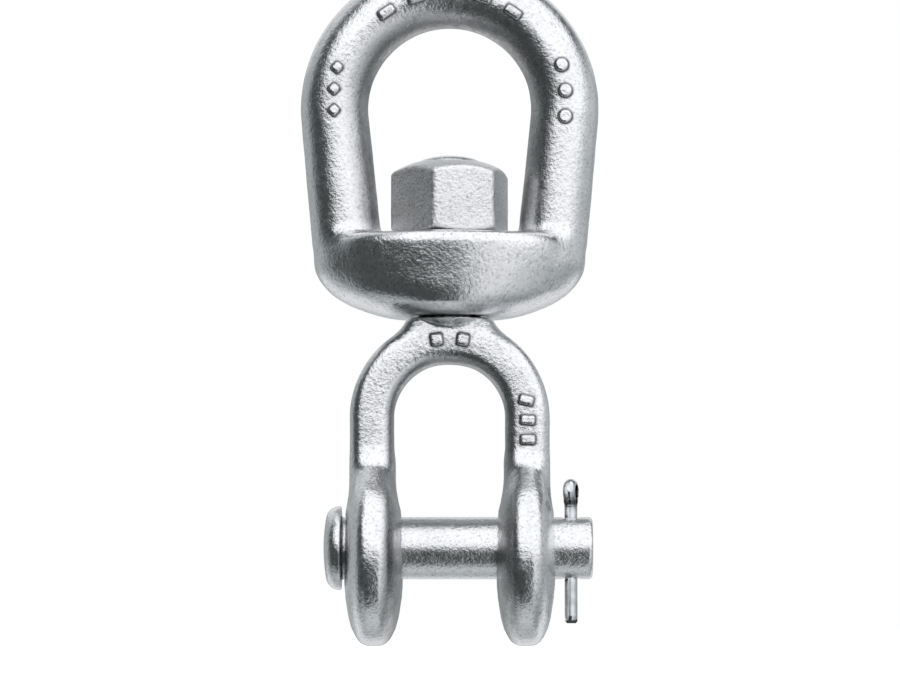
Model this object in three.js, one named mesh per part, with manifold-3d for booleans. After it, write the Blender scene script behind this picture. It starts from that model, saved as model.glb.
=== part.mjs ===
// Jaw-end anchor swivel, 3/4 inch class: a forged bow carries a forged jaw whose shank turns in the
// bow's collar and is kept there by a heavy domed hex nut. A headed clevis pin closes the jaw and a
// cotter pin keeps the clevis pin in.
//
// Millimetres. +Z is up along the swivel axis, +X runs from the clevis pin's head to its cotter,
// the bow lies in the XZ plane. The origin is the crown of the bow, where the load bears.
import * as THREE from "three";
import { mergeVertices } from "three/addons/utils/BufferGeometryUtils.js";
import Module from "manifold-3d";

// ---------------------------------------------------------------- driving dimensions
const BAR_IN = 19.7; // bow bar, thickness in the plane of the bow
const BAR_OUT = 19.1; // bow bar, thickness across that plane
const CROWN_R = 34.4; // bow crown, radius of the bar's centreline
const CROWN_Z = -24.65; // centre of the crown's arc
const LEG_LEAN = (5.7 * Math.PI) / 180; // each leg leans in towards the collar
const LEG_END_Z = -65.0; // where the leg's centreline starts round the lower corner
const CORNER_R = 15.0; // lower corner, radius of the centreline

const COLLAR_TOP = -63.0; // machined face under the nut
const COLLAR_BOTTOM = -87.3; // machined face over the jaw
const COLLAR_B = 25.3; // half depth of the collar
const COLLAR_A = 34.0; // half length of the collar, ends inside the legs
const COLLAR_BORE_R = 9.9;

const SHANK_R = 9.35;
const SHANK_TOP = -39.6;
const SHANK_SIDES = 40;

const JAW_TOP = -87.7; // crown of the jaw, just under the collar
const JAW_R = 23.05; // crown centreline, also the legs' offset from the axis
const JAW_Z = -117.1; // centre of the jaw's crown
const JAW_THICK = 12.9; // leg thickness between the inside and the outside of the jaw
const JAW_DEPTH = 16.4; // leg depth across the jaw
const JAW_CORNER = 3.2;

const EAR_X = 22.5; // middle of each ear
const EAR_HALF = 8.5; // half thickness at the middle
const EAR_R = 26.5;
const EAR_Z = -157.9;
const PIN_Z = -155.55;
const PIN_BORE_R = 9.85;

const PIN_R = 9.2;
const PIN_END_X = 42.2;
const HEAD_R = 12.4;
const HEAD_INNER_X = -32.0;
const HEAD_OUTER_X = -37.2;

const COTTER_X = 35.9;
const COTTER_HOLE_R = 2.3;
const COTTER_R = 1.9; // round made by the two half-round legs
const COTTER_GAP = 0.15; // half gap between the legs
const COTTER_TIP = -22.2; // long leg, below the clevis pin's axis
const COTTER_SHORT = 0.9; // the other leg stops this much higher
const COTTER_EYE_Z = 16.7; // centre of the eye, above the clevis pin's axis
const COTTER_EYE_R = 2.05; // inside radius of the eye
const COTTER_NECK_Z = 12.2;
const COTTER_TURN = (74 * Math.PI) / 180; // plane of the eye, turned from the XZ plane

const NUT_BOTTOM = -62.4;
const NUT_TOP = -39.3;
const NUT_FLATS = 31.75; // 1 1/4 inch across flats
const NUT_DOME_R = 34.0;
const NUT_BORE_R = 9.65;
const NUT_TURN = (44.5 * Math.PI) / 180; // a corner of the hexagon, from +X towards -Y

// ---------------------------------------------------------------- solids
const wasm = await Module();
wasm.setup();

// A closed three.js geometry as a solid that can be joined and cut.
function solid(geometry, matrix) {
  const g = geometry.index ? geometry.toNonIndexed() : geometry.clone();
  g.deleteAttribute("normal");
  g.deleteAttribute("uv");
  if (matrix) g.applyMatrix4(matrix);
  const m = mergeVertices(g, 1e-4);
  return new wasm.Manifold(
    new wasm.Mesh({
      numProp: 3,
      vertProperties: new Float32Array(m.attributes.position.array),
      triVerts: new Uint32Array(m.index.array),
    }),
  );
}

function geometryOf(made) {
  const m = made.getMesh();
  const v = new Float32Array(m.numVert * 3);
  for (let i = 0; i < m.numVert; i++)
    v.set(m.vertProperties.subarray(i * m.numProp, i * m.numProp + 3), i * 3);
  const g = new THREE.BufferGeometry();
  g.setAttribute("position", new THREE.BufferAttribute(v, 3));
  g.setIndex(new THREE.BufferAttribute(new Uint32Array(m.triVerts), 1));
  g.computeVertexNormals();
  return g;
}

// Lathe about Z: profile is [radius, z] pairs running up the outside from the axis to the axis.
function lathe(profile, sides, phase = 0) {
  const g = new THREE.LatheGeometry(
    profile.map(([r, z]) => new THREE.Vector2(r, z)),
    sides,
    phase,
    2 * Math.PI,
  );
  g.rotateX(Math.PI / 2); // lathe axis Y becomes Z
  return g;
}

// A plain cylinder along Z.
const rod = (r, z0, z1, sides) =>
  lathe([[0, z0], [r, z0], [r, z1], [0, z1]], sides);

// Points on an arc in a profile, from angle a to b in degrees.
function arc(cx, cy, r, a, b, n) {
  const out = [];
  for (let i = 0; i <= n; i++) {
    const t = ((a + ((b - a) * i) / n) * Math.PI) / 180;
    out.push([cx + r * Math.cos(t), cy + r * Math.sin(t)]);
  }
  return out;
}

// A bar swept along stations that lie in the XZ plane. A station is {x, z, nx, nz}: a point and the
// in-plane direction of the section's first axis. section is [u, v] pairs, v along Y.
function sweep(stations, section, closed) {
  const n = section.length;
  const pos = [];
  for (const s of stations) {
    const sec = s.section || section;
    for (const [u, v] of sec) pos.push(s.x + u * s.nx, v, s.z + u * s.nz);
  }
  const idx = [];
  const rings = stations.length;
  const last = closed ? rings : rings - 1;
  for (let i = 0; i < last; i++) {
    const a = i * n;
    const b = ((i + 1) % rings) * n;
    for (let j = 0; j < n; j++) {
      const k = (j + 1) % n;
      idx.push(a + j, b + j, a + k, a + k, b + j, b + k);
    }
  }
  if (!closed) {
    const first = THREE.ShapeUtils.triangulateShape(
      section.map(([u, v]) => new THREE.Vector2(u, v)),
      [],
    );
    const end = (rings - 1) * n;
    for (const [a, b, c] of first) {
      idx.push(a, b, c);
      idx.push(end + a, end + c, end + b);
    }
  }
  const g = new THREE.BufferGeometry();
  g.setAttribute("position", new THREE.Float32BufferAttribute(pos, 3));
  g.setIndex(idx);
  const made = solid(g);
  if (made.volume() >= 0) return made;
  const flipped = [];
  for (let i = 0; i < idx.length; i += 3)
    flipped.push(idx[i], idx[i + 2], idx[i + 1]);
  g.setIndex(flipped);
  return solid(g);
}

// A section with rounded corners, w along the first axis and d along Y.
function roundedSection(w, d, r, n) {
  const out = [];
  for (const [sx, sy, a] of [[1, 1, 0], [-1, 1, 90], [-1, -1, 180], [1, -1, 270]])
    for (const p of arc(sx * (w / 2 - r), sy * (d / 2 - r), r, a, a + 90, n))
      out.push(p);
  return out;
}

const ellipse = (w, d, n) =>
  Array.from({ length: n }, (_, i) => [
    (w / 2) * Math.cos((2 * Math.PI * i) / n),
    (d / 2) * Math.sin((2 * Math.PI * i) / n),
  ]);

// ---------------------------------------------------------------- bow
// Right half of the bar's centreline, from the middle of the collar round to the crown.
function bowStations() {
  const half = [];
  const legTopX = CROWN_R * Math.cos(LEG_LEAN);
  const legTopZ = CROWN_Z - CROWN_R * Math.sin(LEG_LEAN);
  const legEndX = legTopX - (legTopZ - LEG_END_Z) * Math.tan(LEG_LEAN);
  const cx = legEndX - CORNER_R * Math.cos(LEG_LEAN);
  const cz = LEG_END_Z + CORNER_R * Math.sin(LEG_LEAN);
  half.push({ x: 0, z: cz - CORNER_R, a: -90 });
  half.push({ x: cx * 0.5, z: cz - CORNER_R, a: -90 });
  for (let i = 0; i <= 6; i++) {
    const a = -90 + ((90 - (LEG_LEAN * 180) / Math.PI) * i) / 6;
    const t = (a * Math.PI) / 180;
    half.push({ x: cx + CORNER_R * Math.cos(t), z: cz + CORNER_R * Math.sin(t), a });
  }
  for (let i = 1; i < 3; i++)
    half.push({
      x: legEndX + ((legTopX - legEndX) * i) / 3,
      z: LEG_END_Z + ((legTopZ - LEG_END_Z) * i) / 3,
      a: (-LEG_LEAN * 180) / Math.PI,
    });
  const lean = (LEG_LEAN * 180) / Math.PI;
  for (let i = 0; i <= 12; i++) {
    const a = -lean + ((90 + lean) * i) / 12;
    const t = (a * Math.PI) / 180;
    half.push({ x: CROWN_R * Math.cos(t), z: CROWN_Z + CROWN_R * Math.sin(t), a });
  }
  const left = half
    .slice(1, -1)
    .reverse()
    .map((s) => ({ x: -s.x, z: s.z, a: 180 - s.a }));
  return [...half, ...left].map((s) => ({
    x: s.x,
    z: s.z,
    nx: Math.cos((s.a * Math.PI) / 180),
    nz: Math.sin((s.a * Math.PI) / 180),
  }));
}

const collarProfile = [
  [0, COLLAR_BOTTOM],
  [COLLAR_B - 9.6, COLLAR_BOTTOM],
  [COLLAR_B - 6.5, COLLAR_BOTTOM + 1.5],
  [COLLAR_B - 4.3, COLLAR_BOTTOM + 3.1],
  [COLLAR_B - 2.8, COLLAR_BOTTOM + 5.0],
  [COLLAR_B - 1.9, COLLAR_BOTTOM + 7.5],
  [COLLAR_B - 0.3, COLLAR_TOP - 5.0],
  ...arc(COLLAR_B - 3.3, COLLAR_TOP - 3.2, 3.2, 0, 90, 4),
  [0, COLLAR_TOP],
];
const collar = solid(
  lathe(collarProfile, 48),
  new THREE.Matrix4().makeScale(COLLAR_A / COLLAR_B, 1, 1),
);
const overCollar = solid(
  new THREE.BoxGeometry(60, 60, 20),
  new THREE.Matrix4().makeTranslation(0, 0, COLLAR_BOTTOM - 10),
);
const bow = sweep(bowStations(), ellipse(BAR_IN, BAR_OUT, 24), true)
  .subtract(overCollar)
  .add(collar)
  .subtract(solid(rod(COLLAR_BORE_R, COLLAR_BOTTOM - 3, COLLAR_TOP + 3, SHANK_SIDES)));

// ---------------------------------------------------------------- jaw
function jawStations() {
  const out = [{ x: JAW_R, z: EAR_Z + 6, a: 0 }, { x: JAW_R, z: -132, a: 0 }];
  for (let i = 0; i <= 18; i++) {
    const a = (180 * i) / 18;
    const t = (a * Math.PI) / 180;
    out.push({ x: JAW_R * Math.cos(t), z: JAW_Z + JAW_R * Math.sin(t), a });
  }
  out.push({ x: -JAW_R, z: -132, a: 180 }, { x: -JAW_R, z: EAR_Z + 6, a: 180 });
  return out.map((s) => ({
    x: s.x,
    z: s.z,
    nx: Math.cos((s.a * Math.PI) / 180),
    nz: Math.sin((s.a * Math.PI) / 180),
  }));
}

// One ear: a thick disc with a flat face round the pin hole, thinning to a rounded rim.
const earSide = [
  [11.8, EAR_HALF],
  [16.0, EAR_HALF - 0.8],
  [20.0, EAR_HALF - 1.7],
  [22.6, EAR_HALF - 2.8],
  [24.7, EAR_HALF - 4.3],
  [25.9, EAR_HALF - 5.9],
  [EAR_R, EAR_HALF - 7.2],
];
const earProfile = [
  [0, -EAR_HALF],
  ...earSide.map(([r, h]) => [r, -h]),
  ...earSide.slice().reverse(),
  [0, EAR_HALF],
];
const ear = (x) =>
  solid(
    lathe(earProfile, 40),
    new THREE.Matrix4()
      .makeTranslation(x, 0, EAR_Z)
      .multiply(new THREE.Matrix4().makeRotationY(Math.PI / 2)),
  );
const alongX = (r, x0, x1, z, sides) =>
  solid(
    rod(r, x0, x1, sides),
    new THREE.Matrix4()
      .makeTranslation(0, 0, z)
      .multiply(new THREE.Matrix4().makeRotationY(Math.PI / 2)),
  );
const overJaw = solid(
  new THREE.BoxGeometry(60, 60, 20),
  new THREE.Matrix4().makeTranslation(0, 0, JAW_TOP + 10),
);
const shank = lathe(
  [
    [0, JAW_TOP - 8],
    [SHANK_R, JAW_TOP - 8],
    [SHANK_R, SHANK_TOP - 1.2],
    [SHANK_R - 1.0, SHANK_TOP - 0.2],
    [0, SHANK_TOP],
  ],
  SHANK_SIDES,
);
const jaw = sweep(jawStations(), roundedSection(JAW_THICK, JAW_DEPTH, JAW_CORNER, 3), false)
  .add(ear(EAR_X))
  .add(ear(-EAR_X))
  .subtract(overJaw)
  .add(solid(shank))
  .subtract(alongX(PIN_BORE_R, -60, 60, PIN_Z, 36));

// ---------------------------------------------------------------- nut
const across = NUT_FLATS / Math.sqrt(3); // centre to corner
const hexagon = new THREE.Shape(
  Array.from({ length: 6 }, (_, i) => {
    const t = -NUT_TURN + (i * Math.PI) / 3;
    return new THREE.Vector2(across * Math.cos(t), across * Math.sin(t));
  }),
);
const hexPrism = new THREE.ExtrudeGeometry(hexagon, {
  depth: NUT_TOP - NUT_BOTTOM + 2,
  bevelEnabled: false,
});
const turned = [
  [0, NUT_BOTTOM],
  [NUT_FLATS / 2 - 0.2, NUT_BOTTOM],
  [across + 0.3, NUT_BOTTOM + 2.6],
];
const domeAt = (r) => NUT_TOP - NUT_DOME_R + Math.sqrt(NUT_DOME_R ** 2 - r * r);
for (const r of [across + 0.3, 17, 15, 12.5, 9.5, 6, 3]) turned.push([r, domeAt(r)]);
turned.push([0, NUT_TOP]);
const nut = solid(hexPrism, new THREE.Matrix4().makeTranslation(0, 0, NUT_BOTTOM - 1))
  .intersect(solid(lathe(turned, 60)))
  .subtract(solid(rod(NUT_BORE_R, NUT_BOTTOM - 3, NUT_TOP + 3, SHANK_SIDES)));

// ---------------------------------------------------------------- clevis pin
const headCorner = 3.4;
const pinProfile = [
  [0, HEAD_OUTER_X],
  [4.5, HEAD_OUTER_X + 0.12],
  ...arc(HEAD_R - headCorner, HEAD_OUTER_X + 0.35 + headCorner, headCorner, -90, 0, 5),
  [HEAD_R, HEAD_INNER_X - 0.4],
  [HEAD_R - 0.4, HEAD_INNER_X],
  [PIN_R, HEAD_INNER_X],
  [PIN_R, PIN_END_X - 1.0],
  [PIN_R - 0.9, PIN_END_X],
  [0, PIN_END_X],
];
const cotterHole = solid(
  rod(COTTER_HOLE_R, -15, 15, 16),
  new THREE.Matrix4().makeTranslation(COTTER_X, 0, PIN_Z),
);
const clevisPin = solid(
  lathe(pinProfile, 36, Math.PI / 36),
  new THREE.Matrix4()
    .makeTranslation(0, 0, PIN_Z)
    .multiply(new THREE.Matrix4().makeRotationY(Math.PI / 2)),
).subtract(cotterHole);

// ---------------------------------------------------------------- cotter pin
// Half-round wire, flat side inwards: up one leg, round the eye and down the other leg.
function cotterStations() {
  const pts = [];
  const legs = [];
  // inner line of one side, in the plane of the eye: [u, z]
  legs.push([COTTER_GAP, COTTER_TIP], [COTTER_GAP, 0], [COTTER_GAP, COTTER_NECK_Z]);
  legs.push([0.42, COTTER_NECK_Z + 0.9], [1.05, COTTER_NECK_Z + 1.7]);
  for (const [u, z] of legs) pts.push([u, z]);
  const start = -52;
  for (let i = 0; i <= 14; i++) {
    const t = ((start + ((180 - 2 * start) * i) / 14) * Math.PI) / 180;
    pts.push([COTTER_EYE_R * Math.cos(t), COTTER_EYE_Z + COTTER_EYE_R * Math.sin(t)]);
  }
  for (const [u, z] of legs.slice().reverse())
    pts.push([-u, z === COTTER_TIP ? COTTER_TIP + COTTER_SHORT : z]);
  return pts.map(([x, z], i) => {
    const a = pts[Math.max(0, i - 1)];
    const b = pts[Math.min(pts.length - 1, i + 1)];
    const tx = b[0] - a[0];
    const tz = b[1] - a[1];
    const l = Math.hypot(tx, tz);
    return { x, z, nx: tz / l, nz: -tx / l };
  });
}
const wire = arc(0, 0, COTTER_R - COTTER_GAP, -90, 90, 8).map(([u, v]) => [
  Math.max(0, u),
  v * (COTTER_R / (COTTER_R - COTTER_GAP)) * 0.98,
]);
const cotter = sweep(cotterStations(), wire, false);

// ---------------------------------------------------------------- assembly
const zinc = (name, made, colour, roughness) => {
  const mesh = new THREE.Mesh(
    geometryOf(made),
    new THREE.MeshStandardMaterial({ color: colour, roughness, metalness: 1 }),
  );
  mesh.name = name;
  return mesh;
};

const assembly = new THREE.Group();
assembly.add(zinc("bow", bow, 0xc9cbcc, 0.38));

const jawGroup = new THREE.Group();
jawGroup.add(zinc("jaw", jaw, 0xc9cbcc, 0.38));
jawGroup.add(zinc("swivel_nut", nut, 0xbfc1c2, 0.42));

const pinGroup = new THREE.Group();
pinGroup.add(zinc("clevis_pin", clevisPin, 0xc4c6c7, 0.36));

const cotterMesh = zinc("cotter_pin", cotter, 0xd5d8db, 0.16);
cotterMesh.rotation.z = COTTER_TURN;
cotterMesh.position.set(COTTER_X, 0, PIN_Z);
pinGroup.add(cotterMesh);
jawGroup.add(pinGroup);
assembly.add(jawGroup);

export default assembly;
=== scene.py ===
"""Anchor swivel: the looks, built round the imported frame.

The forged pieces are made from their implicit shapes: a shape is a function of position that is
negative inside, its zero surface is meshed on a grid, and the mesh's points are moved on to the
surface. Shapes are written in millimetres, in the frame's own axes, and become metres at the end.
"""
import math

import bmesh
import bpy
import numpy as np
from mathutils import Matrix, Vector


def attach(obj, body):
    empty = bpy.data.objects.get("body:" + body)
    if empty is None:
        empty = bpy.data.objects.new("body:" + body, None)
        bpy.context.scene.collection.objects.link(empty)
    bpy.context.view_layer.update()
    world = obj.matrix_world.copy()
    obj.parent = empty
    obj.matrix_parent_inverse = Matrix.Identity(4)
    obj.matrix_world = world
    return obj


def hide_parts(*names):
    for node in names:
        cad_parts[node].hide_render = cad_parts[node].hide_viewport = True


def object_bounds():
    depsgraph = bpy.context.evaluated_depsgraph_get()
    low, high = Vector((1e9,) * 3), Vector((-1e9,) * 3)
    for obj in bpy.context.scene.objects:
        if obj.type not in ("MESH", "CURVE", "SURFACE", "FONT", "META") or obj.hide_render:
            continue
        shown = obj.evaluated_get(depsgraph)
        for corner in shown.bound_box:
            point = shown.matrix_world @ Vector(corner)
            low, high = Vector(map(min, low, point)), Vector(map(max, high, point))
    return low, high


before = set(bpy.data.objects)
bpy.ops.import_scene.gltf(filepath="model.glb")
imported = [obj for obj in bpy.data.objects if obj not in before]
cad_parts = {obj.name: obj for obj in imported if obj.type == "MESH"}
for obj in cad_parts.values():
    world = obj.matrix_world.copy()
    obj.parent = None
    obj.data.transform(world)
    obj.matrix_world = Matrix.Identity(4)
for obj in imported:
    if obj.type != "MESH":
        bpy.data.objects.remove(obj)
cad_lo, cad_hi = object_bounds()

# ---------------------------------------------------------------- dimensions, mm
LEAN = math.radians(5.7)
CROWN_R, CROWN_Z = 34.4, -24.65
LEG_END_Z = -69.0
COLLAR_TOP, COLLAR_BOTTOM = -63.0, -87.3
COLLAR_BORE = 9.9
SHANK_R = 9.35
JAW_R, JAW_Z = 23.05, -117.1
EAR_X, EAR_Z, EAR_R, EAR_HALF = 22.5, -157.9, 26.5, 8.5
PIN_Z, PIN_R, PIN_BORE = -155.55, 9.2, 9.85
NUT_BOTTOM, NUT_TOP, NUT_FLAT, NUT_DOME = -62.4, -39.3, 31.75 / 2, 34.0
NUT_BORE, NUT_TURN = 9.65, math.radians(44.5)
COTTER_X = 35.9
PIN_END = 42.2


# ---------------------------------------------------------------- noise, the same on every run
def _hash(ix, iy, iz, seed):
    with np.errstate(over="ignore"):
        h = (ix.astype(np.uint32) * np.uint32(374761393)
             + iy.astype(np.uint32) * np.uint32(668265263)
             + iz.astype(np.uint32) * np.uint32(2246822519)
             + np.uint32(seed) * np.uint32(3266489917))
        h = (h ^ (h >> np.uint32(13))) * np.uint32(1274126177)
        h = h ^ (h >> np.uint32(16))
    return h


def noise(p, size, seed=0):
    """Smooth noise from -1 to 1 at points p, with features about size across."""
    q = p / size + 1000.0
    i = np.floor(q).astype(np.int64)
    f = q - i
    u = f * f * f * (f * (f * 6 - 15) + 10)
    total = np.zeros(len(p))
    for dx in (0, 1):
        wx = u[:, 0] if dx else 1 - u[:, 0]
        for dy in (0, 1):
            wy = u[:, 1] if dy else 1 - u[:, 1]
            for dz in (0, 1):
                wz = u[:, 2] if dz else 1 - u[:, 2]
                h = _hash(i[:, 0] + dx, i[:, 1] + dy, i[:, 2] + dz, seed)
                gx = ((h & np.uint32(255)).astype(float) / 127.5) - 1
                gy = (((h >> np.uint32(8)) & np.uint32(255)).astype(float) / 127.5) - 1
                gz = (((h >> np.uint32(16)) & np.uint32(255)).astype(float) / 127.5) - 1
                total += wx * wy * wz * (gx * (f[:, 0] - dx) + gy * (f[:, 1] - dy) + gz * (f[:, 2] - dz))
    return total * 1.4


# ---------------------------------------------------------------- implicit shapes
def smin(a, b, k):
    h = np.maximum(k - np.abs(a - b), 0) / k
    return np.minimum(a, b) - h * h * k * 0.25


def smax(a, b, k):
    return -smin(-a, -b, k)


def segment2(px, pz, ax, az, bx, bz):
    ux, uz = bx - ax, bz - az
    t = np.clip(((px - ax) * ux + (pz - az) * uz) / (ux * ux + uz * uz), 0, 1)
    return np.hypot(px - ax - t * ux, pz - az - t * uz), t


def table(z, rows):
    """A smooth curve through [z, value] rows, z rising."""
    zs = np.array([r[0] for r in rows], float)
    vs = np.array([r[1] for r in rows], float)
    z = np.clip(z, zs[0], zs[-1])
    m = np.gradient(vs, zs)
    i = np.clip(np.searchsorted(zs, z) - 1, 0, len(zs) - 2)
    h = zs[i + 1] - zs[i]
    t = (z - zs[i]) / h
    t2, t3 = t * t, t * t * t
    return ((2 * t3 - 3 * t2 + 1) * vs[i] + (t3 - 2 * t2 + t) * h * m[i]
            + (3 * t2 - 2 * t3) * vs[i + 1] + (t3 - t2) * h * m[i + 1])


def ellipse(x, y, a, b):
    k0 = np.sqrt((x / a) ** 2 + (y / b) ** 2) + 1e-9
    k1 = np.sqrt((x / (a * a)) ** 2 + (y / (b * b)) ** 2) + 1e-9
    return k0 * (k0 - 1) / k1


LEG_TOP_X = CROWN_R * math.cos(LEAN)
LEG_TOP_Z = CROWN_Z - CROWN_R * math.sin(LEAN)
LEG_END_X = LEG_TOP_X - (LEG_TOP_Z - LEG_END_Z) * math.tan(LEAN)

COLLAR_A = [[-88, 13.5], [-87.3, 17.5], [-86, 22.8], [-84.2, 27.8], [-81.2, 32.7], [-78.2, 35.3],
            [-75.2, 36.9], [-72, 37.6], [-69, 37.6], [-66, 37.0], [-60, 36.0]]
COLLAR_B = [[-88, 13.4], [-87.3, 16.2], [-86, 19.6], [-84.5, 21.7], [-82.5, 22.9], [-80, 23.5],
            [-75, 24.15], [-70, 24.8], [-66, 25.3], [-60, 25.8]]


def bow_shape(p):
    x, y, z = np.abs(p[0]), p[1], p[2]
    ang = np.arctan2(z - CROWN_Z, x)
    arc = np.abs(np.hypot(x, z - CROWN_Z) - CROWN_R)
    arc = np.where(ang >= -LEAN, arc, 1e3)
    leg, t = segment2(x, z, LEG_TOP_X, LEG_TOP_Z, LEG_END_X, LEG_END_Z)
    flat = np.minimum(arc, leg)
    foot = np.clip((-65.0 - z) / 9.0, 0, 1)
    foot = foot * foot * (3 - 2 * foot)
    r = 9.95 + 0.3 * np.clip((CROWN_Z - z) / 40, 0, 1) - 1.5 * foot
    bar = np.sqrt(flat ** 2 + (y * 1.03) ** 2) - r
    a = table(z, COLLAR_A)
    b = table(z, COLLAR_B)
    boss = ellipse(x, y, a, b)
    boss = smax(boss, z - COLLAR_TOP, 4.0)
    boss = smax(boss, COLLAR_BOTTOM - z, 1.2)
    body = smin(bar, boss, 3.6 + 4.6 * foot)
    body = smax(body, COLLAR_BOTTOM - z, 0.8)
    rho = np.hypot(x, y)
    # the bore, with a small chamfer at both mouths
    top = np.maximum((rho - COLLAR_BORE + COLLAR_TOP - z - 1.0) * 0.7071, z - COLLAR_TOP - 3)
    low = np.maximum((rho - COLLAR_BORE + z - COLLAR_BOTTOM - 1.0) * 0.7071, COLLAR_BOTTOM - 3 - z)
    cut = np.minimum(np.maximum(rho - COLLAR_BORE, np.abs(z + 75) - 15), np.minimum(top, low))
    return smax(body, -cut, 0.6)


# half the thickness of an ear at each radius from its middle
EAR_WIDTH = [[0, 8.5], [10, 8.48], [14, 7.95], [19.5, 6.95], [22.5, 5.95], [25.0, 4.55], [27.5, 2.9]]


def jaw_shape(p):
    x, y, z = np.abs(p[0]), p[1], p[2]
    arc = np.abs(np.hypot(x, z - JAW_Z) - JAW_R)
    leg = np.where(z > EAR_Z + 4, np.abs(x - JAW_R), np.hypot(x - JAW_R, z - EAR_Z - 4))
    d = np.where(z >= JAW_Z, arc, leg)
    w, depth, r = 13.0, 16.4, 3.6
    qx, qy = d - (w / 2 - r), np.abs(y) - (depth / 2 - r)
    # root of the shank, which stands on the crown and is flush with its faces
    root = smax(smax(x - 12.4, z + 84.0, 1.4), -98.0 - z, 3.0)
    qx = smin(qx, root + r, 5.0)
    # the front and back faces are a little crowned
    qy = qy + 0.012 * np.minimum(d, 6.5) ** 2
    bar = np.hypot(np.maximum(qx, 0), np.maximum(qy, 0)) + np.minimum(np.maximum(qx, qy), 0) - r
    rho = np.hypot(x, y)
    bar = smax(bar, z + 87.7, 1.2)
    # the seat under the collar is turned round and tapers back to the faces
    seat = np.maximum((rho - 11.8 - (z + 87.7) * 1.5) * 0.55, -90.6 - z)
    bar = smin(bar, smax(seat, z + 87.7, 0.4), 0.7)
    # ears
    er = np.hypot(y, z - EAR_Z)
    eu = np.abs(x - EAR_X)
    # the rim runs up on to the leg in a wide fillet
    sink = np.clip((z + 137.0) / 10.0, 0, 1)
    foot = np.abs(y) - 8.0 + 1.8 * sink * sink * (3 - 2 * sink)
    foot = smax(np.maximum(foot, EAR_Z - z), z + 127.0, 4.0)
    rim = smin(er - EAR_R, foot, 9.0)
    climb = np.clip((z + 146.0) / 12.0, 0, 1)
    climb = climb * climb * (3 - 2 * climb)
    width = table(rim + EAR_R, EAR_WIDTH) * (1 - climb) + 5.6 * climb
    ear = smax((eu - width) * 0.94, rim + (0.006 + 0.012 * climb) * eu * eu, 2.2 + 2.6 * climb)
    body = smin(bar, ear, 2.4)
    # shank
    top = -38.75 - rho * rho / 55
    shank = smax(rho - SHANK_R, z - top, 1.6)
    shank = np.maximum(shank, -87.9 - z)
    body = smin(body, shank, 1.2)
    # bores of the ears
    pr = np.hypot(y, z - PIN_Z)
    bore = pr - PIN_BORE
    inner = (pr - PIN_BORE - 0.8 + (x - (EAR_X - EAR_HALF))) * 0.7071
    outer = (pr - PIN_BORE - 0.8 + ((EAR_X + EAR_HALF) - x)) * 0.7071
    cut = np.minimum(bore, np.minimum(inner, outer))
    cut = np.where(x > 6, cut, 1e3)
    return smax(body, -cut, 0.6)


# Plain raised forging pips, bars and lozenges: [centre x, centre z, half length, half width, turn in degrees].
MARK_HEIGHT = 0.80
BOW_MARKS = [[33.2, -12.6, 2.1, 2.1, 0], [34.3, -20.3, 2.1, 2.1, 0], [34.2, -28.0, 2.1, 2.1, 0],
             [-33.4, -13.4, 1.55, 1.55, 45], [-34.3, -19.8, 1.55, 1.55, 45], [-34.3, -26.2, 1.55, 1.55, 45]]
BOW_MARKS += [[33.6 * math.cos(math.radians(a)), CROWN_Z + 33.6 * math.sin(math.radians(a)), 2.7, 1.5, a - 90]
              for a in (56, 73, 90, 107, 124)]
JAW_MARKS = [[-3.9, -94.2, 1.9, 1.9, 8], [3.9, -94.2, 1.9, 1.9, -8],
             [22.6, -112.2, 2.3, 1.5, -12], [23.0, -118.0, 2.3, 1.5, -4], [23.05, -123.8, 2.3, 1.5, 0]]


def marks_shape(p, marks):
    """Distance in the XZ plane to the nearest mark, far from any on the back."""
    x, y, z = p
    d = np.full(np.shape(x), 1e3)
    for cx, cz, a, b, turn in marks:
        c, s = math.cos(math.radians(turn)), math.sin(math.radians(turn))
        u, v = (x - cx) * c + (z - cz) * s, -(x - cx) * s + (z - cz) * c
        r = min(a, b) * (0.98 if a == b and turn == 0 else 0.45)
        qx, qy = np.abs(u) - (a - r), np.abs(v) - (b - r)
        d = np.minimum(d, np.hypot(np.maximum(qx, 0), np.maximum(qy, 0)) + np.minimum(np.maximum(qx, qy), 0) - r)
    return np.where(y < 0, d, 1e3)


def marked(f, marks):
    def g(p):
        body = f(p)
        # walls lean back a little, as they come out of a die
        mark = smax(marks_shape(p, marks) + 0.22 * body, body - MARK_HEIGHT, 0.35)
        return smin(body, mark, 0.25)
    return g


def nut_shape(p):
    x, y, z = p
    d = np.full(np.shape(x), -1e3)
    for i in range(6):
        t = -NUT_TURN + math.radians(30) + i * math.pi / 3
        d = smax(d, x * math.cos(t) + y * math.sin(t) - NUT_FLAT, 1.1)
    rho = np.hypot(x, y)
    dome = np.sqrt(rho ** 2 + (z - NUT_TOP + NUT_DOME) ** 2) - NUT_DOME
    d = smax(d, dome, 0.9)
    d = smax(d, NUT_BOTTOM - z, 0.6)
    under = (rho - (NUT_FLAT + 0.1)) * 0.5 - (z - NUT_BOTTOM) * 0.866
    d = smax(d, under, 0.7)
    mouth = ((rho - NUT_BORE) - 0.7 + (z - NUT_BOTTOM)) * 0.7071
    top = ((rho - NUT_BORE) - 0.5 + (-40.7 - z)) * 0.7071
    return smax(d, -np.minimum(rho - NUT_BORE, np.minimum(mouth, top)), 0.5)


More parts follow.
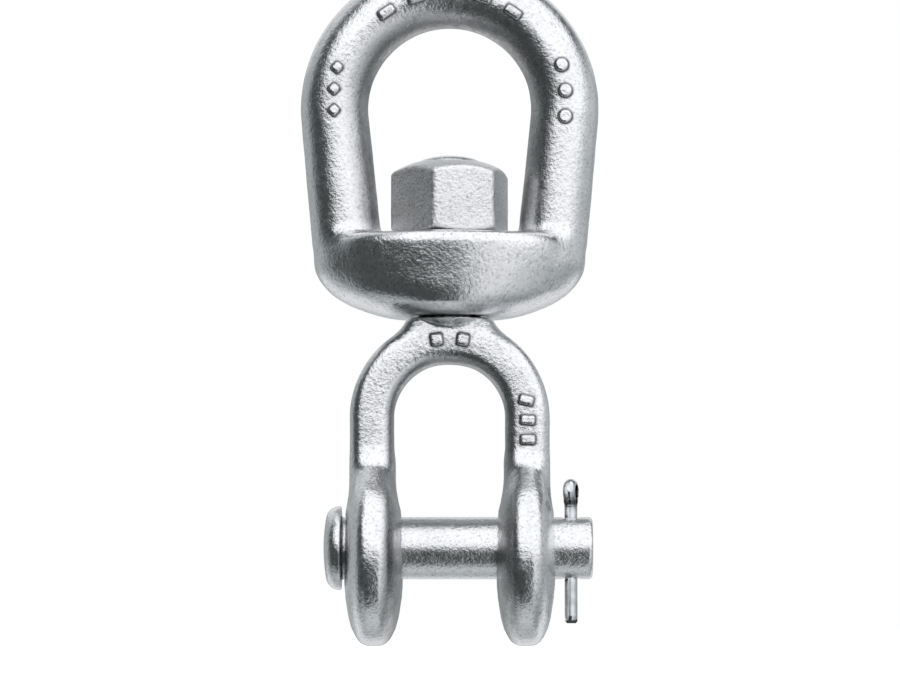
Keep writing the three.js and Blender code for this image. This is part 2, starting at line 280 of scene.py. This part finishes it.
def pin_shape(p):
    x, y, z = p
    r = np.hypot(y, z - PIN_Z)
    body = smax(r - PIN_R, x - PIN_END, 1.3)
    body = np.maximum(body, -34.5 - x)
    head = smax(r - 12.45, x + 32.0, 0.7)
    crown = np.sqrt((x + 37.35 - 52.0) ** 2 + r ** 2) - 52.0
    head = smax(head, crown, 3.8)
    body = smin(body, head, 0.9)
    hole = np.hypot(x - COTTER_X, y)
    mouth = (hole - 2.3) - 0.5 + (PIN_R - np.abs(z - PIN_Z)) * 0.6
    cut = np.minimum(hole - 2.3, mouth * 0.85)
    return smax(body, -cut, 0.4)


# ---------------------------------------------------------------- meshing
def surface(f, lo, hi, h):
    """Quads on the zero surface of f between the corners lo and hi, with a grid of step h."""
    axes = [np.arange(lo[i], hi[i] + h, h) for i in range(3)]
    n = [len(a) for a in axes]
    F = np.empty(n, np.float32)
    for i, xv in enumerate(axes[0]):
        Y, Z = np.meshgrid(axes[1], axes[2], indexing="ij")
        F[i] = f((np.full(Y.shape, xv), Y, Z))
    neg = F < 0
    count = np.zeros([k - 1 for k in n], np.int8)
    for dx in (0, 1):
        for dy in (0, 1):
            for dz in (0, 1):
                count += neg[dx:n[0] - 1 + dx, dy:n[1] - 1 + dy, dz:n[2] - 1 + dz]
    active = (count > 0) & (count < 8)
    index = np.full(active.shape, -1, np.int64)
    cells = np.argwhere(active)
    index[active] = np.arange(len(cells))
    total = np.zeros((len(cells), 3))
    hits = np.zeros(len(cells))
    corner = [(dx, dy, dz) for dx in (0, 1) for dy in (0, 1) for dz in (0, 1)]
    for a in corner:
        for b in corner:
            if sum(b) - sum(a) == 1 and all(v >= u for u, v in zip(a, b)):
                fa = F[cells[:, 0] + a[0], cells[:, 1] + a[1], cells[:, 2] + a[2]]
                fb = F[cells[:, 0] + b[0], cells[:, 1] + b[1], cells[:, 2] + b[2]]
                cross = (fa < 0) != (fb < 0)
                t = np.where(cross, fa / np.where(cross, fa - fb, 1), 0)
                for k in range(3):
                    total[:, k] += np.where(cross, a[k] + t * (b[k] - a[k]), 0)
                hits += cross
    verts = (cells + total / hits[:, None]) * h + np.array(lo)
    quads = []
    for k in range(3):
        s0 = [slice(1, m - 1) for m in n]
        s1 = [slice(1, m - 1) for m in n]
        s0[k] = slice(0, n[k] - 1)
        s1[k] = slice(1, n[k])
        change = neg[tuple(s0)] != neg[tuple(s1)]
        at = np.argwhere(change)
        off = [1, 1, 1]
        off[k] = 0
        at = at + np.array(off)
        u, v = (k + 1) % 3, (k + 2) % 3
        du, dv = np.zeros(3, int), np.zeros(3, int)
        du[u], dv[v] = 1, 1
        c00 = index[tuple((at - du - dv).T)]
        c10 = index[tuple((at - dv).T)]
        c11 = index[tuple(at.T)]
        c01 = index[tuple((at - du).T)]
        out = neg[tuple(at.T)]
        q = np.stack([c00, c10, c11, c01], 1)
        q[~out] = q[~out][:, ::-1]
        quads.append(q)
    return verts, np.concatenate(quads)


def gradient(f, v, e=0.04):
    g = np.empty_like(v)
    for k in range(3):
        d = np.zeros(3)
        d[k] = e
        g[:, k] = (f(tuple((v + d).T)) - f(tuple((v - d).T))) / (2 * e)
    return g


def on_surface(f, v, steps, cap=0.6):
    for _ in range(steps):
        g = gradient(f, v)
        step = (f(tuple(v.T)) / (np.sum(g * g, 1) + 1e-6))[:, None] * g
        size = np.linalg.norm(step, axis=1, keepdims=True)
        v = v - step * np.minimum(1, cap / (size + 1e-9))
    return v


def relax(v, quads, amount):
    a = quads.reshape(-1)
    b = np.roll(quads, -1, 1).reshape(-1)
    n = np.bincount(a, minlength=len(v)) + np.bincount(b, minlength=len(v))
    out = np.empty_like(v)
    for k in range(3):
        s = np.bincount(a, weights=v[b, k], minlength=len(v)) + np.bincount(b, weights=v[a, k], minlength=len(v))
        out[:, k] = s / np.maximum(n, 1)
    return v + (out - v) * amount


def to_object(name, v, faces, painted_shade=None):
    mesh = bpy.data.meshes.new(name)
    mesh.from_pydata((v * 0.001).tolist(), [], faces.tolist() if hasattr(faces, "tolist") else faces)
    mesh.polygons.foreach_set("use_smooth", np.ones(len(mesh.polygons), bool))
    mesh.validate()
    mesh.update()
    # each point's painted shade is kept as a mesh attribute for the materials
    if painted_shade is not None and len(mesh.vertices) == len(painted_shade):
        mesh.attributes.new("painted_shade", "FLOAT", "POINT").data.foreach_set("value", painted_shade)
    obj = bpy.data.objects.new(name, mesh)
    bpy.context.scene.collection.objects.link(obj)
    return obj


def normals_of(f, v):
    g = gradient(f, v)
    return g / (np.linalg.norm(g, axis=1, keepdims=True) + 1e-9)


def refine(v, quads, marks, cuts):
    """Smaller faces round the marks, so that their walls are crisp."""
    mesh = bpy.data.meshes.new("refine")
    mesh.from_pydata(v.tolist(), [], quads.tolist())
    bm = bmesh.new()
    bm.from_mesh(mesh)
    for _ in range(cuts):
        bm.verts.ensure_lookup_table()
        co = np.array([q.co for q in bm.verts])
        near = marks_shape(tuple(co.T), marks) < 0.9
        edges = [e for e in bm.edges if near[e.verts[0].index] and near[e.verts[1].index]]
        bmesh.ops.subdivide_edges(bm, edges=edges, cuts=1, use_grid_fill=True)
        bm.verts.index_update()
    bmesh.ops.triangulate(bm, faces=[f for f in bm.faces if len(f.verts) > 4])
    bm.verts.index_update()
    co = np.array([q.co for q in bm.verts])
    faces = [[q.index for q in f.verts] for f in bm.faces]
    bm.free()
    bpy.data.meshes.remove(mesh)
    return co, faces


def make(name, f, lo, hi, h, skin=None, marks=None, inner_shade=None):
    h = h * 1.0
    v, quads = surface(f, lo, hi, h)
    for _ in range(3):
        v = relax(v, quads, 0.5)
        v = on_surface(f, v, 1)
    v = on_surface(f, v, 2, 0.3)
    faces = quads
    if marks:
        v, faces = refine(v, quads, marks, 2)
        near = marks_shape(tuple(v.T), marks) < 1.6
        v[near] = on_surface(marked(f, marks), v[near], 6, 0.25)
    painted_shade = np.zeros(len(v))
    if marks:
        # painted shade: a dark line along the foot of every raised mark
        painted_shade = np.exp(-((marks_shape(tuple(v.T), marks) - 0.12) / 0.30) ** 2)
    # painted shade on the inside of an opening, where one is given
    if inner_shade is not None:
        painted_shade = np.maximum(painted_shade, inner_shade(v, normals_of(f, v)))
    if skin is not None:
        n = normals_of(f, v)
        v = v + n * skin(v, n)[:, None]
    return to_object(name, v, faces, painted_shade)


# ---------------------------------------------------------------- forged skin
def forged(v, n, seed, scale=1.0):
    """Height of the forged and galvanised skin above the plain shape, mm."""
    out = 0.10 * noise(v, 14.0, seed) + 0.035 * noise(v, 5.5, seed + 1)
    out += 0.016 * noise(v, 2.3, seed + 2) + 0.014 * noise(v, 1.3, seed + 3)
    return out * scale


def bow_skin(v, n):
    out = forged(v, n, 11)
    # trimmed flash along the outside of the bar
    side = np.clip(1 - np.abs(n[:, 1]) * 2.2, 0, 1)
    line = np.exp(-(v[:, 1] / 0.9) ** 2)
    out += 0.16 * line * side * (0.75 + 0.5 * noise(v, 6.0, 31))
    # the faces that turn against each other are plain
    flat = np.clip((np.abs(n[:, 2]) - 0.9) * 10, 0, 1) * (np.hypot(v[:, 0], v[:, 1]) < 22)
    bore = np.hypot(v[:, 0], v[:, 1]) < COLLAR_BORE + 0.8
    return out * (1 - 0.8 * flat) * np.where(bore, 0.1, 1)


def jaw_skin(v, n):
    out = forged(v, n, 23)
    side = np.clip(1 - np.abs(n[:, 1]) * 2.2, 0, 1) * (v[:, 2] < -89)
    line = np.exp(-(v[:, 1] / 0.9) ** 2)
    out += 0.14 * line * side * (0.75 + 0.5 * noise(v, 6.0, 37)) * (np.hypot(v[:, 1], v[:, 2] - PIN_Z) > 14)
    edge = np.exp(-((np.hypot(v[:, 1], v[:, 2] - EAR_Z) - EAR_R) / 1.6) ** 2) * (v[:, 2] < -134)
    out += edge * (0.035 * noise(v, 2.6, 61) + 0.03 * noise(v * np.array([0.45, 1.0, 1.0]), 1.5, 62))
    plain = (np.hypot(v[:, 1], v[:, 2] - PIN_Z) < PIN_BORE + 0.8) & (v[:, 2] < -140)
    shank = (np.hypot(v[:, 0], v[:, 1]) < SHANK_R + 0.4) & (v[:, 2] > -88.5) & (v[:, 2] < -41.5)
    return out * np.where(plain | shank, 0.1, 1)


def nut_skin(v, n):
    bore = np.hypot(v[:, 0], v[:, 1]) < NUT_BORE + 0.6
    return (0.05 * noise(v, 7.0, 41) + 0.03 * noise(v, 2.4, 42) + 0.012 * noise(v, 1.1, 43)) * np.where(bore, 0.1, 1)


def pin_skin(v, n):
    return 0.02 * noise(v, 9.0, 51) + 0.016 * noise(v, 2.6, 52) + 0.010 * noise(v, 1.1, 53)


def inside(v, n, middle):
    """How squarely a point faces the middle line of its opening, 0 to 1."""
    out = np.stack([v[:, 0], v[:, 2] - middle], 1)
    out[:, 1] = np.maximum(out[:, 1], 0)
    out /= np.linalg.norm(out, axis=1, keepdims=True) + 1e-9
    facing = -(n[:, 0] * out[:, 0] + n[:, 2] * out[:, 1])
    return np.clip((facing - 0.25) / 0.5, 0, 1) * (1 + 0.35 * noise(v, 8.0, 71))


def bow_inner_shade(v, n):
    """Painted shade on the inside of the eye, with a rougher finish there too, strongest where a face turns to the
    middle of the opening.
    """
    return 0.66 * inside(v, n, CROWN_Z) * np.clip((v[:, 2] + 62.0) / 4.0, 0, 1)


def jaw_inner_shade(v, n):
    """Painted shade on the inside of the jaw, the same way."""
    return 0.60 * inside(v, n, JAW_Z) * np.clip((-92.0 - v[:, 2]) / 3.0, 0, 1)


bow = make("bow_forging", bow_shape, (-47, -27.5, -90), (47, 27.5, 22.5), 0.66, bow_skin, BOW_MARKS, bow_inner_shade)
jaw = make("jaw_forging", jaw_shape, (-33.5, -29.5, -187), (33.5, 29.5, -37), 0.60, jaw_skin, JAW_MARKS, jaw_inner_shade)
nut = make("domed_nut", nut_shape, (-20.5, -20.5, -64), (20.5, 20.5, -37.5), 0.36, nut_skin)
pin = make("headed_pin", pin_shape, (-39.5, -14, PIN_Z - 14), (44.5, 14, PIN_Z + 14), 0.40, pin_skin)


# ---------------------------------------------------------------- cotter pin
def cotter():
    """Half-round wire, flat side inwards: up one leg, round the eye and down the other."""
    gap, neck, eye_z, eye_r = 0.12, 12.2, 16.7, 2.05
    tip, short = -22.2, 0.9
    start = math.radians(-52)
    line = [(gap, z) for z in np.linspace(tip, neck, 60)]
    key = [(gap, neck), (0.42, neck + 0.9), (1.05, neck + 1.7)]
    first = (eye_r * math.cos(start), eye_z + eye_r * math.sin(start))
    pts = [np.array(q, float) for q in [(gap, neck - 1.5), *key, first]]
    turn = []
    for i in range(1, len(pts) - 1):
        for t in np.linspace(0, 1, 6, endpoint=False):
            p0, p1 = pts[i - 1], pts[i]
            p2, p3 = pts[i + 1], pts[min(i + 2, len(pts) - 1)]
            q = 0.5 * (2 * p1 + (p2 - p0) * t + (2 * p0 - 5 * p1 + 4 * p2 - p3) * t * t + (3 * p1 - p0 - 3 * p2 + p3) * t ** 3)
            turn.append(tuple(q))
    eye = [(eye_r * math.cos(a), eye_z + eye_r * math.sin(a)) for a in np.linspace(start, math.pi - start, 60)]
    right = line[:-1] + turn
    left = [(-x, z) for x, z in reversed(right) if z > tip + short - 0.3]
    path = right + eye + left[:-1] + [(-gap, tip + short)]
    path = np.array(path)
    tan = np.gradient(path, axis=0)
    tan /= np.linalg.norm(tan, axis=1, keepdims=True)
    out = np.stack([tan[:, 1], -tan[:, 0]], 1)  # away from the inside of the eye
    sec = []
    r = 1.9
    m = 18
    for i in range(m + 1):
        a = -math.pi / 2 + math.pi * i / m
        sec.append([(r - gap) * max(0.0, math.cos(a)), r * 0.975 * math.sin(a)])
    for i in range(1, 8):
        sec.append([0.0, r * 0.975 * (1 - 2 * i / 8)])
    sec = np.array(sec)
    # round the two long edges of the flat side a little
    sec = sec * np.array([1, 1])
    sec[:, 0] += 0.10 * (np.abs(sec[:, 1]) / r) ** 6
    rings = []
    s = np.concatenate([[0], np.cumsum(np.linalg.norm(np.diff(path, axis=0), axis=1))])
    centre = sec.mean(0)
    for i in range(len(path)):
        e = min(s[i], s[-1] - s[i])
        k = 1.0 if e > 0.5 else 0.72 + 0.28 * math.sqrt(max(0.0, 1 - (1 - e / 0.5) ** 2))
        q = centre + (sec - centre) * k
        rings.append(np.stack([path[i, 0] + q[:, 0] * out[i, 0], q[:, 1], path[i, 1] + q[:, 0] * out[i, 1]], 1))
    n, m = len(rings), len(sec)
    v = np.concatenate(rings)
    faces = []
    for i in range(n - 1):
        for j in range(m):
            k = (j + 1) % m
            faces.append([i * m + j, (i + 1) * m + j, (i + 1) * m + k, i * m + k])
    faces.append(list(range(m)))
    faces.append([(n - 1) * m + j for j in reversed(range(m))])
    # painted shade where the two halves part, and on the flat side inside the eye
    waist = np.exp(-((v[:, 2] - neck - 1.3) / 1.5) ** 2)
    hollow = (np.hypot(v[:, 0], v[:, 2] - eye_z) < eye_r + 0.15) & (v[:, 2] > neck + 1.5)
    painted_shade = np.clip(0.88 * waist + 0.45 * hollow, 0, 0.9)
    turn_by = math.radians(74)
    c, sn = math.cos(turn_by), math.sin(turn_by)
    x, y = v[:, 0] * c - v[:, 1] * sn, v[:, 0] * sn + v[:, 1] * c
    v = np.stack([x + COTTER_X, y, v[:, 2] + PIN_Z], 1) * 0.001
    mesh = bpy.data.meshes.new("split_pin")
    mesh.from_pydata(v.tolist(), [], faces)
    mesh.validate()
    bm = bmesh.new()
    bm.from_mesh(mesh)
    bmesh.ops.recalc_face_normals(bm, faces=bm.faces)
    for f in bm.faces:
        f.smooth = len(f.verts) == 4
    for e in bm.edges:
        if len(e.link_faces) == 2 and e.calc_face_angle(0) > math.radians(50):
            e.smooth = False
    bm.to_mesh(mesh)
    bm.free()
    mesh.attributes.new("painted_shade", "FLOAT", "POINT").data.foreach_set("value", painted_shade.astype(np.float32))
    obj = bpy.data.objects.new("split_pin", mesh)
    bpy.context.scene.collection.objects.link(obj)
    return obj


split_pin = cotter()


# ---------------------------------------------------------------- materials
class Nodes:
    def __init__(self, tree):
        self.t = tree
        self.x = 0

    def add(self, kind, **values):
        n = self.t.nodes.new(kind)
        n.location = (self.x, 0)
        self.x += 60
        for k, v in values.items():
            if isinstance(k, str) and hasattr(n, k) and k not in n.inputs:
                setattr(n, k, v)
            else:
                n.inputs[k].default_value = v
        return n

    def link(self, a, b):
        self.t.links.new(a, b)

    def math(self, op, a, b=None, c=None, clamp=False):
        n = self.t.nodes.new("ShaderNodeMath")
        n.operation = op
        n.use_clamp = clamp
        for i, v in enumerate((a, b, c)):
            if v is None:
                continue
            if isinstance(v, (int, float)):
                n.inputs[i].default_value = v
            else:
                self.t.links.new(v, n.inputs[i])
        return n.outputs[0]

    def smooth(self, v, a, b, lo=0.0, hi=1.0):
        n = self.t.nodes.new("ShaderNodeMapRange")
        n.interpolation_type = "SMOOTHSTEP"
        self.t.links.new(v, n.inputs["Value"])
        n.inputs["From Min"].default_value = a
        n.inputs["From Max"].default_value = b
        n.inputs["To Min"].default_value = lo
        n.inputs["To Max"].default_value = hi
        return n.outputs["Result"]


def zinc(name, light, dark, rough, bump, grain, seed=0.0, coarse=1.0):
    """Galvanised steel: mottled zinc over a pebbled skin."""
    mat = bpy.data.materials.new(name)
    mat.use_nodes = True
    t = mat.node_tree
    t.nodes.clear()
    k = Nodes(t)
    out = k.add("ShaderNodeOutputMaterial")
    b = k.add("ShaderNodeBsdfPrincipled")
    k.link(b.outputs[0], out.inputs[0])
    b.inputs["Metallic"].default_value = 1.0
    pos = k.add("ShaderNodeTexCoord").outputs["Object"]
    shift = k.add("ShaderNodeVectorMath", operation="ADD")
    k.link(pos, shift.inputs[0])
    shift.inputs[1].default_value = (seed * 0.37, seed * 0.11, seed * 0.23)
    pos = shift.outputs[0]

    def field(scale, detail, rough_=0.55, dist=0.0):
        n = k.add("ShaderNodeTexNoise")
        k.link(pos, n.inputs["Vector"])
        n.inputs["Scale"].default_value = scale
        n.inputs["Detail"].default_value = detail
        n.inputs["Roughness"].default_value = rough_
        n.inputs["Distortion"].default_value = dist
        return n.outputs[0]

    cloud = field(60.0, 2.0)
    mottle = field(420.0, 3.0, 0.6)
    fine = field(grain, 3.0, 0.62)
    pores = k.add("ShaderNodeTexVoronoi", feature="F1")
    k.link(pos, pores.inputs["Vector"])
    pores.inputs["Scale"].default_value = grain * 0.55
    pit = k.smooth(pores.outputs["Distance"], 0.0, 0.42)

    mix = k.math("ADD", k.math("MULTIPLY", cloud, 0.25), k.math("MULTIPLY", mottle, 0.30))
    mix = k.math("ADD", mix, k.math("MULTIPLY", fine, 0.45))
    tone = k.smooth(mix, 0.36, 0.62)
    ramp = k.add("ShaderNodeMix", data_type="RGBA")
    k.link(tone, ramp.inputs[0])
    ramp.inputs[6].default_value = (*dark, 1)
    ramp.inputs[7].default_value = (*light, 1)
    # small dark specks where the zinc is thin
    speck_and_shade = k.smooth(fine, 0.30, 0.44, 0.74, 1.0)
    # the attribute's painted shade darkens the base colour, through the specks' multiplier, and also raises the
    # roughness
    shade_paint = k.add("ShaderNodeAttribute", attribute_name="painted_shade").outputs["Fac"]
    shade_paint = k.math("MULTIPLY", shade_paint, k.smooth(mottle, 0.2, 0.6, 0.55, 0.80))
    speck_and_shade = k.math("MULTIPLY", speck_and_shade, k.math("SUBTRACT", 1.0, shade_paint))
    dim = k.add("ShaderNodeMix", data_type="RGBA", blend_type="MULTIPLY")
    dim.inputs[0].default_value = 1.0
    k.link(ramp.outputs[2], dim.inputs[6])
    k.link(speck_and_shade, dim.inputs[7])
    k.link(dim.outputs[2], b.inputs["Base Color"])
    r = k.math("ADD", k.math("MULTIPLY", k.smooth(mottle, 0.3, 0.7), 0.08), rough - 0.04)
    r = k.math("ADD", r, k.math("MULTIPLY", shade_paint, 0.25))
    k.link(r, b.inputs["Roughness"])
    height = k.math("ADD", k.math("MULTIPLY", fine, 1.0), k.math("MULTIPLY", pit, 0.12))
    height = k.math("ADD", height, k.math("MULTIPLY", mottle, 0.35 * coarse))
    bp = k.add("ShaderNodeBump")
    bp.inputs["Strength"].default_value = 1.0
    bp.inputs["Distance"].default_value = bump
    k.link(height, bp.inputs["Height"])
    k.link(bp.outputs[0], b.inputs["Normal"])
    return mat


forge = zinc("galvanised_forging", (0.86, 0.86, 0.875), (0.70, 0.71, 0.72), 0.19, 0.00014, 1050.0, 1.0)
forge_jaw = zinc("galvanised_jaw_forging", (0.86, 0.86, 0.875), (0.70, 0.71, 0.72), 0.19, 0.00015, 1050.0, 4.0)
nut_mat = zinc("galvanised_nut", (0.88, 0.882, 0.89), (0.70, 0.71, 0.72), 0.34, 0.00034, 1150.0, 7.0)
pin_mat = zinc("galvanised_pin", (0.84, 0.842, 0.85), (0.68, 0.69, 0.70), 0.20, 0.00014, 1150.0, 9.0)


def bright(name):
    mat = bpy.data.materials.new(name)
    mat.use_nodes = True
    t = mat.node_tree
    t.nodes.clear()
    k = Nodes(t)
    out = k.add("ShaderNodeOutputMaterial")
    b = k.add("ShaderNodeBsdfPrincipled")
    k.link(b.outputs[0], out.inputs[0])
    b.inputs["Metallic"].default_value = 1.0
    pos = k.add("ShaderNodeTexCoord").outputs["Object"]
    stretch = k.add("ShaderNodeMapping")
    k.link(pos, stretch.inputs["Vector"])
    stretch.inputs["Scale"].default_value = (1.0, 1.0, 0.12)
    lines = k.add("ShaderNodeTexNoise")
    k.link(stretch.outputs[0], lines.inputs["Vector"])
    lines.inputs["Scale"].default_value = 2600.0
    lines.inputs["Detail"].default_value = 3.0
    blot = k.add("ShaderNodeTexNoise")
    k.link(pos, blot.inputs["Vector"])
    blot.inputs["Scale"].default_value = 380.0
    blot.inputs["Detail"].default_value = 2.0
    mix = k.add("ShaderNodeMix", data_type="RGBA")
    k.link(k.smooth(blot.outputs[0], 0.35, 0.65), mix.inputs[0])
    mix.inputs[6].default_value = (0.58, 0.60, 0.62, 1)
    mix.inputs[7].default_value = (0.76, 0.78, 0.80, 1)
    # the attribute's painted shade darkens the base colour where the halves part and inside the eye
    seam_shade = k.add("ShaderNodeAttribute", attribute_name="painted_shade").outputs["Fac"]
    dim = k.add("ShaderNodeMix", data_type="RGBA", blend_type="MULTIPLY")
    dim.inputs[0].default_value = 1.0
    k.link(mix.outputs[2], dim.inputs[6])
    k.link(k.math("SUBTRACT", 1.0, seam_shade), dim.inputs[7])
    k.link(dim.outputs[2], b.inputs["Base Color"])
    k.link(k.smooth(blot.outputs[0], 0.3, 0.7, 0.05, 0.12), b.inputs["Roughness"])
    bp = k.add("ShaderNodeBump")
    bp.inputs["Distance"].default_value = 0.000008
    k.link(lines.outputs[0], bp.inputs["Height"])
    k.link(bp.outputs[0], b.inputs["Normal"])
    return mat


wire_mat = bright("bright_zinc")


def wear(obj, mat, body, node):
    obj.data.materials.append(mat)
    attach(obj, body)
    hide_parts(node)


wear(bow, forge, "bow", "bow")
wear(jaw, forge_jaw, "jaw", "jaw")
wear(nut, nut_mat, "jaw", "swivel_nut")
wear(pin, pin_mat, "clevis_pin", "clevis_pin")
wear(split_pin, wire_mat, "cotter_pin", "cotter_pin")

# ---------------------------------------------------------------- studio
world = bpy.data.worlds.new("studio")
bpy.context.scene.world = world
world.use_nodes = True
wt = world.node_tree
wt.nodes.clear()
w = Nodes(wt)
w_out = w.add("ShaderNodeOutputWorld")
bg = w.add("ShaderNodeBackground")
w.link(bg.outputs[0], w_out.inputs[0])
d = w.add("ShaderNodeTexCoord").outputs["Generated"]
sep = w.add("ShaderNodeSeparateXYZ")
w.link(d, sep.inputs[0])
X, Y, Z = sep.outputs
elev = w.math("MULTIPLY", w.math("ARCSINE", Z), 180 / math.pi)
azim = w.math("MULTIPLY", w.math("ARCTAN2", X, w.math("MULTIPLY", Y, -1.0)), 180 / math.pi)
KEY = 1.27


# a big soft light in front, above and a little to the right
def toward(az, el):
    az, el = math.radians(az), math.radians(el)
    c = (math.sin(az) * math.cos(el), -math.cos(az) * math.cos(el), math.sin(el))
    dot = w.math("MULTIPLY", X, c[0])
    dot = w.math("ADD", dot, w.math("MULTIPLY", Y, c[1]))
    dot = w.math("ADD", dot, w.math("MULTIPLY", Z, c[2]))
    return w.math("MULTIPLY", w.math("ARCCOSINE", dot), 180 / math.pi)


top = w.smooth(toward(18, 44), 50.0, 64.0, 1.0, 0.0)
edge = w.math("MAXIMUM", w.smooth(azim, -66.0, -47.0), w.smooth(elev, 48.0, 70.0))
slant = w.math("MULTIPLY", w.math("MINIMUM", w.math("MAXIMUM", azim, -45.0), 8.0), 0.22)
low = w.smooth(w.math("ADD", elev, slant), -12.0, 8.0)
key = w.math("MULTIPLY", w.math("MULTIPLY", top, edge), w.math("MULTIPLY", low, KEY))
# a paler card low on the right
side = w.math("MULTIPLY", w.smooth(azim, 5.0, 23.0), w.smooth(azim, 120.0, 165.0, 1.0, 0.0))
side = w.math("MULTIPLY", side, w.smooth(elev, 20.0, 40.0, 1.0, 0.0))
side = w.math("MULTIPLY", side, w.smooth(azim, 60.0, 100.0, 0.90, 0.60))
dip = w.math("MULTIPLY", w.smooth(azim, 28.0, 56.0), w.smooth(elev, -5.0, 4.0, 0.30, 0.0))
side = w.math("MULTIPLY", side, w.math("SUBTRACT", 1.0, dip))
side = w.math("MULTIPLY", side, w.smooth(elev, -60.0, -25.0, 0.72, 1.0))
# the room behind is a plain grey, the left is darker, the table under it all is pale
behind = w.math("MAXIMUM", w.smooth(azim, 100.0, 150.0, 0.0, 0.46), w.smooth(azim, -110.0, -80.0, 0.46, 0.0))
high_left = w.math("MULTIPLY", w.smooth(azim, -170.0, -135.0), w.smooth(azim, -70.0, -30.0, 1.0, 0.0))
rise = w.math("MULTIPLY", w.smooth(elev, 18.0, 48.0), w.math("MULTIPLY_ADD", high_left, 1.0, -0.35))
behind = w.math("MULTIPLY", behind, w.math("ADD", rise, 1.0))
# a second soft light behind, which the front of the object barely sees
back = w.smooth(w.math("ABSOLUTE", azim), 128.0, 152.0)
back = w.math("MULTIPLY", back, w.smooth(elev, 8.0, 17.0))
back = w.math("MULTIPLY", back, w.smooth(elev, 40.0, 54.0, 1.0, 0.0))
behind = w.math("MAXIMUM", behind, w.math("MULTIPLY", back, 0.88))
under = w.math("MULTIPLY", w.smooth(w.math("ABSOLUTE", azim), 106.0, 132.0), w.smooth(elev, -58.0, -40.0))
under = w.math("MULTIPLY", under, w.smooth(elev, -14.0, -5.0, 0.86, 0.0))
behind = w.math("MAXIMUM", behind, under)
left = w.smooth(azim, -100.0, -70.0, 0.17, 0.075)
table_top = w.smooth(elev, -80.0, -58.0, 0.66, 0.0)
table_left = w.math("MULTIPLY", w.smooth(azim, -70.0, -35.0, 1.0, 0.0), w.smooth(elev, -56.0, -32.0, 0.50, 0.0))
table_top = w.math("MAXIMUM", table_top, table_left)
level = w.math("MAXIMUM", w.math("MAXIMUM", side, behind), w.math("MAXIMUM", left, table_top))
level = w.math("MAXIMUM", level, key)
tint = w.add("ShaderNodeMix", data_type="RGBA")
w.link(w.smooth(level, 0.05, 1.1), tint.inputs[0])
tint.inputs[6].default_value = (0.90, 0.985, 1.0, 1)
tint.inputs[7].default_value = (0.985, 0.985, 1.0, 1)
w.link(tint.outputs[2], bg.inputs[0])
w.link(level, bg.inputs[1])


def stage_mesh(name, verts, faces, colour, strength=0.0):
    mesh = bpy.data.meshes.new(name)
    mesh.from_pydata(verts, [], faces)
    obj = bpy.data.objects.new(name, mesh)
    bpy.context.scene.collection.objects.link(obj)
    mat = bpy.data.materials.new(name)
    mat.use_nodes = True
    b = mat.node_tree.nodes["Principled BSDF"]
    b.inputs["Base Color"].default_value = (*colour, 1)
    b.inputs["Roughness"].default_value = 0.9
    b.inputs["Specular IOR Level"].default_value = 0.1
    if strength:
        b.inputs["Emission Color"].default_value = (1, 1, 1, 1)
        b.inputs["Emission Strength"].default_value = strength
    mesh.materials.append(mat)
    obj.visible_glossy = False
    return obj


floor_z = cad_lo.z - 0.0006
S = 6.0
stage_mesh("floor", [(-S, -S, floor_z), (S, -S, floor_z), (S, S, floor_z), (-S, S, floor_z)], [(0, 1, 2, 3)], (0.92, 0.92, 0.92), 0.62)

# a plain white room, a many-sided dome that only the camera sees
ring, rows = 48, 12
dome_v = [(5 * math.cos(2 * math.pi * i / ring) * math.cos(math.pi / 2 * j / rows),
           5 * math.sin(2 * math.pi * i / ring) * math.cos(math.pi / 2 * j / rows),
           5 * math.sin(math.pi / 2 * j / rows) - 0.6) for j in range(rows) for i in range(ring)] + [(0, 0, 4.4)]
dome_f = [(j * ring + i, j * ring + (i + 1) % ring, (j + 1) * ring + (i + 1) % ring, (j + 1) * ring + i)
          for j in range(rows - 1) for i in range(ring)]
dome_f += [((rows - 1) * ring + i, (rows - 1) * ring + (i + 1) % ring, rows * ring) for i in range(ring)]
room = stage_mesh("backdrop", dome_v, dome_f, (0, 0, 0), 1.0)
room.visible_diffuse = False
room.visible_shadow = False
room.visible_transmission = False


# ---------------------------------------------------------------- camera
cam_data = bpy.data.cameras.new("camera")
cam = bpy.data.objects.new("camera", cam_data)
bpy.context.scene.collection.objects.link(cam)
bpy.context.scene.camera = cam
CAM_D, CAM_Z = 1.10, -0.179
aim_z = -0.0930
tilt = math.atan2(aim_z - CAM_Z, CAM_D)
cam.location = (0.0, -CAM_D, CAM_Z)
cam.rotation_euler = (math.pi / 2 + tilt, 0, 0)
cam_data.sensor_width = 36.0
reach = math.hypot(CAM_D, aim_z - CAM_Z)
cam_data.lens = 3.362 * 1000 * reach * 36.0 / 900.0
cam_data.shift_x = 0.3 / 900.0
cam_data.clip_start, cam_data.clip_end = 0.05, 60.0
bpy.context.scene.view_settings.view_transform = "Standard"
bpy.context.scene.view_settings.look = "None"
